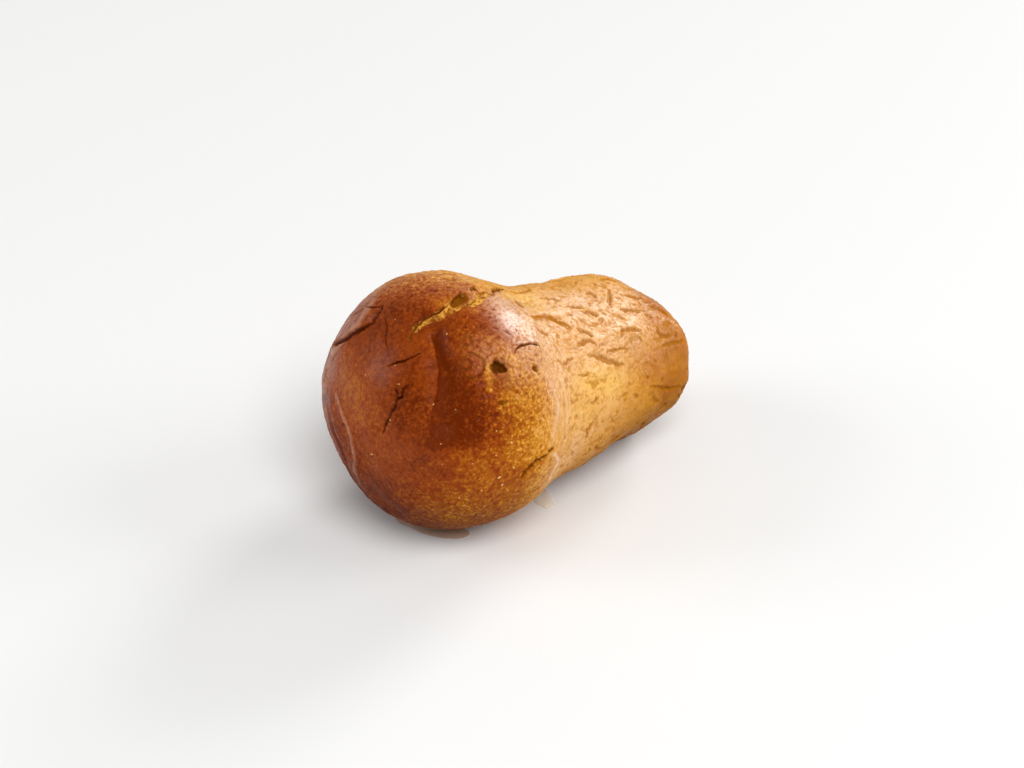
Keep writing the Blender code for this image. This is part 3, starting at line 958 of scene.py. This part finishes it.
def crustMaterial():
    looks = crustLooks
    material, add = newMaterial("syrupSoakedBriocheCrust")
    maths, noises, mixing = "ShaderNodeMath", "ShaderNodeTexNoise", "ShaderNodeMix"
    spot = add("ShaderNodeTexCoord", {}, "Object")
    known = {name: add("ShaderNodeAttribute", {}, "Fac", attribute_name=name)
             for name in ("browned", "glazed", "rosy", "yellow", "soaked", "pebbled", "torn", "glazeLine",
                          "hollow", "golden", "opened")}
    grains = {}
    for name in ("mottle", "blotch", "speckle", "rough", "fineBump", "coatBump"):
        grains[name] = add(noises, {"Vector": spot, "Scale": 1 / (looks[name + "Size"] * mm),
                                    "Detail": 3, "Roughness": 0.6})
    # Browner in drifts some mm wide, and painted shade between the pebbles
    brownAndShade = known["browned"]
    for name in ("mottle", "blotch", "speckle"):
        drift = add(maths, [grains[name], 0.5], operation="SUBTRACT")
        share = looks[name]
        if name != "mottle":
            share = add(maths, [known["pebbled"], looks["granules"], share], operation="MULTIPLY_ADD")
        drift = add(maths, [drift, share], operation="MULTIPLY")
        brownAndShade = add(maths, [brownAndShade, drift], operation="ADD")
    even = add("ShaderNodeAttribute", {}, "Vector", attribute_name="evenPlace")
    bumps = -1.0
    for name in ("Pebble Size", "Grit Size"):
        grain = add(noises, {"Vector": even, "Scale": 1 / (relief[name] * mm), "Detail": 3})
        bumps = add(maths, [bumps, grain], operation="ADD")
    hollows = add(maths, [bumps, -looks["bumpShade"]], operation="MULTIPLY")
    where = add(maths, [known["pebbled"], looks["bumpShadeElsewhere"]], operation="ADD")
    hollows = add(maths, [hollows, where], operation="MULTIPLY")
    brownAndShade = add(maths, [brownAndShade, hollows], operation="ADD")
    # Painted highlight: the tallest pebbles are paler
    low, high = looks["paintedPebbleHighlightHeights"]
    tops = add("ShaderNodeMapRange", {"Value": bumps, "From Min": low, "From Max": high},
               interpolation_type="SMOOTHSTEP")
    tops = add(maths, [tops, known["pebbled"]], operation="MULTIPLY")
    paintedPebbleHighlight = add(maths, [tops, -looks["paintedPebbleHighlight"]], operation="MULTIPLY")
    brownAndShade = add(maths, [brownAndShade, paintedPebbleHighlight], operation="ADD", use_clamp=True)
    ramp = add("ShaderNodeValToRGB", [brownAndShade], out=None)
    stops = ramp.color_ramp.elements
    while len(stops) < len(looks["ramp"]):
        stops.new(0.5)
    for stop, (place, colour) in zip(stops, looks["ramp"]):
        stop.position = place
        stop.color = paint(colour)
    colour = ramp.outputs[0]
    dark, light = paint(looks["darkFloorAndShade"]), paint(looks["goldenFloor"])
    floor = add(mixing, {0: known["golden"], 6: dark, 7: light}, 2, data_type="RGBA")
    low, high = looks["crumbHeights"]
    crumbs = add(maths, [grains["speckle"], grains["rough"]], operation="ADD")
    crumbs = add("ShaderNodeMapRange", {"Value": crumbs, "From Min": low, "From Max": high})
    dark, light = [paint(shade) for shade in looks["crumbFloor"]]
    crumb = add(mixing, {0: crumbs, 6: dark, 7: light}, 2, data_type="RGBA")
    # The painted sheen lies on the raised skin more than between it
    raised = add(maths, [bumps, *looks["paintedSheenRaised"]], operation="MULTIPLY_ADD", use_clamp=True)
    known["rosy"] = add(maths, [known["rosy"], raised], operation="MULTIPLY")
    layers = {where: (cover, paint(shade)) for where, (cover, shade) in looks["layers"].items()}
    layers.update(opened=(looks["openedCover"], crumb), hollow=(1.0, floor))
    for where, (cover, layer) in layers.items():
        share = add(maths, [known[where], cover], operation="MULTIPLY")
        colour = add(mixing, {0: share, 6: colour, 7: layer}, 2, data_type="RGBA")
    # Painted shade and soaking: the skin near the table is multiplied darker
    colour = add(mixing, {0: known["soaked"], 6: colour, 7: paint(looks["soaked"])},
                 2, data_type="RGBA", blend_type="MULTIPLY")
    low, high = looks["roughness"]
    rough = add("ShaderNodeMapRange", {
        "Value": grains["rough"], "From Min": 0.3, "From Max": 0.7, "To Min": low, "To Max": high})
    # Glaze stays out of open crumb and torn hollows, and gathers along its own lines
    bare = add(maths, [known["hollow"], known["torn"]], operation="MAXIMUM")
    bare = add(maths, [bare, known["opened"]], operation="MAXIMUM")
    bare = add(maths, [bare, -looks["bareShare"], 1], operation="MULTIPLY_ADD")
    coat = add(maths, [known["glazed"], known["glazeLine"]], operation="ADD", use_clamp=True)
    coat = add(maths, [coat, bare], operation="MULTIPLY")
    fine = add("ShaderNodeBump", {"Height": grains["fineBump"], "Distance": looks["fineBump"] * mm})
    smooth = add("ShaderNodeBump", {"Height": grains["coatBump"], "Distance": looks["coatBump"] * mm})
    shader = add("ShaderNodeBsdfPrincipled", {
        "Base Color": colour,
        "Roughness": rough,
        "IOR": 1.42,
        "Specular IOR Level": 0.05,
        "Specular Tint": paint("#FFB070"),
        "Subsurface Weight": 0.22,
        "Subsurface Radius": (1.0, 0.42, 0.14),
        "Subsurface Scale": 1.3 * mm,
        "Coat Weight": coat,
        "Coat Roughness": 0.25,
        "Coat IOR": 1.45,
        "Normal": fine,
        "Coat Normal": smooth,
    })
    add("ShaderNodeOutputMaterial", {"Surface": shader}, out=None)
    return material


crustFinish = crustMaterial()
runTree(crust, reliefTree(), {**relief, "Cracks": crackMarks, "Ridges": ridgeMarks, "Material": crustFinish})
for marks in (crackMarks, ridgeMarks):
    bpy.data.objects.remove(marks)
carvedCount = len(crust.data.polygons)
thinOut(crust, skin["triangles"])
skinPoints = pointsOf(crust.data)
skinPoints[:, 2] = np.maximum(skinPoints[:, 2], 0)  # it rests flat
setPoints(crust.data, skinPoints)
crust.data.shade_smooth()
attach(crust, "root")
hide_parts("baba")
print("crust carved:", carvedCount, "triangles, kept", len(crust.data.polygons))


# Syrup that ran off: a film under the head and a small clear pool beside the neck, as low rounded drops
syrup = {
    "film": {"height": 0.3, "outline": [
        (-39, 3), (-38.5, -3), (-36.5, -9), (-33, -14), (-29, -16.5), (-26, -15), (-28, -5), (-33, 2)]},
    "pool": {"height": 0.9, "outline": [
        (-2, -10), (-2, -14), (-2.6, -18), (-1.6, -20.6), (0.6, -21), (2.4, -19), (3.4, -16), (3.6, -12.5),
        (2, -9)]},
    "step": 0.5,  # mm round the outline
    "rings": 9,
    "rim": 3,  # it rises over one part in so many of the way in
    "thinnest": 0.02,
    "seed": 7,
    "unevenness": 0.5,  # mm that the outline strays
    "unevenSize": 3,
    # the film's colour is painted amber shade and bounce light under the head
    "colours": {"film": "#DFA56A", "pool": "#FFF0D6"},
    "body": 0.24,  # how much of the light it holds back; the thin film lets the rest straight through
}


def makeSyrup():
    points, faces, stained = [], [], []
    noise.seed_set(syrup["seed"])
    for pool in ("film", "pool"):
        made = syrup[pool]
        corners = [Vector((*corner, 0)) for corner in made["outline"]]
        outline = [point + noise.noise_vector(point / syrup["unevenSize"]) * syrup["unevenness"]
                   for point in smoothRoute(corners, syrup["step"], closed=True)]
        middle = sum(outline, Vector()) / len(outline)
        first, count = len(points), len(outline)
        for i in range(syrup["rings"]):
            inward = i / syrup["rings"]
            rise = made["height"] * math.sqrt(1 - (1 - min(inward * syrup["rim"], 1)) ** 2)
            for point in outline:
                place = point.lerp(middle, inward)
                points.append((place.x * mm, place.y * mm, (rise + syrup["thinnest"]) * mm))
        top, bottom = len(points), len(points) + 1
        for height in (made["height"] + syrup["thinnest"], 0):
            points.append((middle.x * mm, middle.y * mm, height * mm))
        for j in range(count):
            k = (j + 1) % count
            for i in range(syrup["rings"] - 1):
                a, b = first + i * count, first + (i + 1) * count
                faces.append((a + j, a + k, b + k, b + j))
            last = first + (syrup["rings"] - 1) * count
            faces.append((last + j, last + k, top))
            faces.append((first + k, first + j, bottom))
        stained += [pool == "film"] * (len(points) - first)
    mesh = bpy.data.meshes.new("rumSyrup")
    mesh.from_pydata(points, [], faces)
    giveValues(mesh, "stained", stained)
    grid = bmesh.new()
    grid.from_mesh(mesh)
    bmesh.ops.recalc_face_normals(grid, faces=grid.faces)
    for face in grid.faces:
        face.smooth = face.normal.z > -0.5  # the wet underside stays flat
    for edge in grid.edges:
        edge.smooth = all(face.smooth for face in edge.link_faces)
    grid.to_mesh(mesh)
    grid.free()
    # Thin sugar syrup, poured: the pool is clear with a faint amber tint and wet glints at its rim, and the
    # film's tan colour is painted amber shade and bounce light under the head
    material, add = newMaterial("clearRumSyrup")
    amberShadeShare = add("ShaderNodeAttribute", {}, "Fac", attribute_name="stained")
    colour = add("ShaderNodeMix", {0: amberShadeShare, 6: paint(syrup["colours"]["pool"]),
                                   7: paint(syrup["colours"]["film"])}, 2, data_type="RGBA")
    shader = add("ShaderNodeBsdfPrincipled", {
        "Base Color": colour, "Roughness": 0.06, "IOR": 1.40, "Alpha": syrup["body"]})
    add("ShaderNodeOutputMaterial", {"Surface": shader}, out=None)
    mesh.materials.append(material)
    thing = showObject("rumSyrup", mesh)
    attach(thing, "root")
    print("syrup poured:", len(mesh.polygons), "faces")


makeSyrup()

# Pale flecks of dried glaze and sugar stuck on the crust
flecks = {
    "seed": 21,
    "count": 90,
    "size": (0.12, 0.3),  # mm, half the length
    "flatness": 0.4,
    "slimness": 0.6,
    "slimRange": (0.6, 1.2),  # each one's own share of it
    "lumps": 0.35,
    "lumpScale": 1.7,  # to the half length
    "lowest": 8,  # mm over the table
    "denserSide": (60, 50, 140),  # above this height from the foot, between these bearings
    "elsewhere": 0.25,  # how likely one is on the rest
    "colour": "#E2B56C",
    # Those that stand out in the photograph: half length in mm, and the place
    "chosen": [
        (1.3, (50.4, 81.1)), (0.6, (83.9, 96.8)), (0.5, (82, 102)), (0.55, (81.5, 79)), (0.4, (98, 54)),
        (0.4, (109, 114)), (0.35, (104, 30)), (0.3, (86, 84)), (0.35, (78, 86)), (0.3, (88, 104)),
        (0.35, (80, 92)), (0.3, (92, 88))],
}


def fleckTree():
    tree, add, given = newTree("stuckFlecks", {"Fleck": "NodeSocketObject", "Material": "NodeSocketMaterial"})
    shape = add("GeometryNodeObjectInfo", {"Object": given["Fleck"]}, "Geometry")
    known = {name: add("GeometryNodeInputNamedAttribute", {"Name": name}, data_type="FLOAT_VECTOR")
             for name in ("turn", "stretch")}
    turned = add("FunctionNodeEulerToRotation", [known["turn"]])
    placed = add("GeometryNodeInstanceOnPoints", {
        "Points": given["Geometry"], "Instance": shape, "Rotation": turned, "Scale": known["stretch"]})
    real = add("GeometryNodeRealizeInstances", [placed])
    dressed = add("GeometryNodeSetMaterial", {"Geometry": real, "Material": given["Material"]})
    add("NodeGroupOutput", [dressed], out=None)
    return tree


def makeFlecks():
    chooser = random.Random(flecks["seed"])
    tree = BVHTree.FromObject(crust, bpy.context.evaluated_depsgraph_get())
    places, turns, stretches = [], [], []

    def stick(point, half):
        place, normal, _, _ = tree.find_nearest(point)
        spin = Matrix.Rotation(chooser.uniform(0, math.tau), 3, "Z").to_quaternion()
        turn = normal.to_track_quat("Z", "Y") @ spin
        slim = flecks["slimness"] * chooser.uniform(*flecks["slimRange"])
        places.append(place)
        turns.append(turn.to_euler())
        stretches.append(Vector((1, slim, flecks["flatness"])) * half * mm)

    for half, place in flecks["chosen"]:
        stick(turnedPlace(*place), half)
    points = pointsOf(crust.data)
    above, first, last = flecks["denserSide"]
    while len(places) < flecks["count"]:
        point = Vector(points[chooser.randrange(len(points))])
        height, bearing = placeOf(point)
        likely = 1 if height > above and first < bearing < last else flecks["elsewhere"]
        if point.z > flecks["lowest"] * mm and chooser.random() < likely:
            stick(point, chooser.uniform(*flecks["size"]))
    shape = bpy.data.meshes.new("fleckShape")
    grid = bmesh.new()
    bmesh.ops.create_icosphere(grid, subdivisions=2, radius=1)
    for vert in grid.verts:
        vert.co *= 1 + flecks["lumps"] * noise.noise(vert.co * flecks["lumpScale"])
    grid.to_mesh(shape)
    grid.free()
    shape.shade_smooth()
    shapeThing = showObject("fleckShape", shape)
    mesh = bpy.data.meshes.new("glazeFlecks")
    mesh.from_pydata(places, [], [])
    for name, values in (("turn", turns), ("stretch", stretches)):
        layer = mesh.attributes.new(name, "FLOAT_VECTOR", "POINT")
        layer.data.foreach_set("vector", np.array([list(v) for v in values], dtype=np.float32).ravel())
    material, add = newMaterial("driedGlazeFlecks")  # sugary crumbs: pale, a little see-through, softly shiny
    shader = add("ShaderNodeBsdfPrincipled", {
        "Base Color": paint(flecks["colour"]), "Roughness": 0.35, "IOR": 1.45, "Subsurface Weight": 0.3,
        "Subsurface Radius": (1.0, 0.7, 0.4), "Subsurface Scale": 0.4 * mm})
    add("ShaderNodeOutputMaterial", {"Surface": shader}, out=None)
    thing = showObject("glazeFlecks", mesh)
    runTree(thing, fleckTree(), {"Fleck": shapeThing, "Material": material})
    bpy.data.objects.remove(shapeThing)
    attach(thing, "root")
    print("flecks stuck:", len(thing.data.polygons), "faces")


makeFlecks()

# Floor and light
studio = {
    "floorSize": 6.0,  # metres
    "floorDrop": 0.05,  # mm under the baba, so that the two don't meet
    "floorColour": "#E9E9E8",
    "worldDim": 0.12,  # towards the camera
    "worldBright": 0.26,  # above and behind
    "worldWay": (0.2, 0.5, 0.8),  # to the bright side: right in the picture, away, and up
    "worldFade": (-0.3, 1.0),
    "lampDistance": 3.0,
    # Each round softbox: degrees from the picture's right towards the back, height in degrees, size in m, W
    "lamps": {"front": (-70, 55, 1.9, 64), "right": (0, 28, 1.7, 28), "back": (50, 28, 1.2, 36),
              "left": (180, 28, 1.6, 28)},
}


def makeFloor():
    mesh = bpy.data.meshes.new("floor")
    half = studio["floorSize"] / 2
    corners = [(-half, -half), (half, -half), (half, half), (-half, half)]
    mesh.from_pydata([(x, y, -studio["floorDrop"] * mm) for x, y in corners], [], [(0, 1, 2, 3)])
    floor = showObject("floor", mesh)
    material, add = newMaterial("matteWhiteTable")  # matt lacquered board: even, without a glint
    shader = add("ShaderNodeBsdfPrincipled",
                 {"Base Color": paint(studio["floorColour"]), "Roughness": 0.6, "Specular IOR Level": 0.3})
    add("ShaderNodeOutputMaterial", {"Surface": shader}, out=None)
    mesh.materials.append(material)


def makeLamps():
    for name, (turn, height, size, power) in studio["lamps"].items():
        turn, height = math.radians(turn), math.radians(height)
        way = (rightWay * math.cos(turn) + awayWay * math.sin(turn)) * math.cos(height)
        way += Vector((0, 0, math.sin(height)))
        data = bpy.data.lights.new(name, "AREA")
        data.shape = "DISK"
        data.size = size
        data.energy = power
        lamp = showObject(name, data)
        lamp.location = way * studio["lampDistance"]
        lamp.rotation_euler = way.to_track_quat("Z", "Y").to_euler()


def makeWorld():
    world = bpy.data.worlds.new("studio")
    bpy.context.scene.world = world
    world.use_nodes = True
    tree = world.node_tree
    right, away, up = studio["worldWay"]
    brightWay = (Vector((0, 0, up)) + awayWay * away + rightWay * right).normalized()
    low, high = studio["worldFade"]
    way = addNode(tree, "ShaderNodeTexCoord", {}, "Generated")
    facing = addNode(tree, "ShaderNodeVectorMath", [way, brightWay], "Value", operation="DOT_PRODUCT")
    strength = addNode(tree, "ShaderNodeMapRange", {
        "Value": facing, "From Min": low, "From Max": high,
        "To Min": studio["worldDim"], "To Max": studio["worldBright"]})
    tree.links.new(strength, tree.nodes["Background"].inputs["Strength"])
    tree.nodes["Background"].inputs["Color"].default_value = (1, 1, 1, 1)


makeFloor()
makeLamps()
makeWorld()
bpy.context.scene.view_settings.view_transform = "Standard"
print("studio lit")
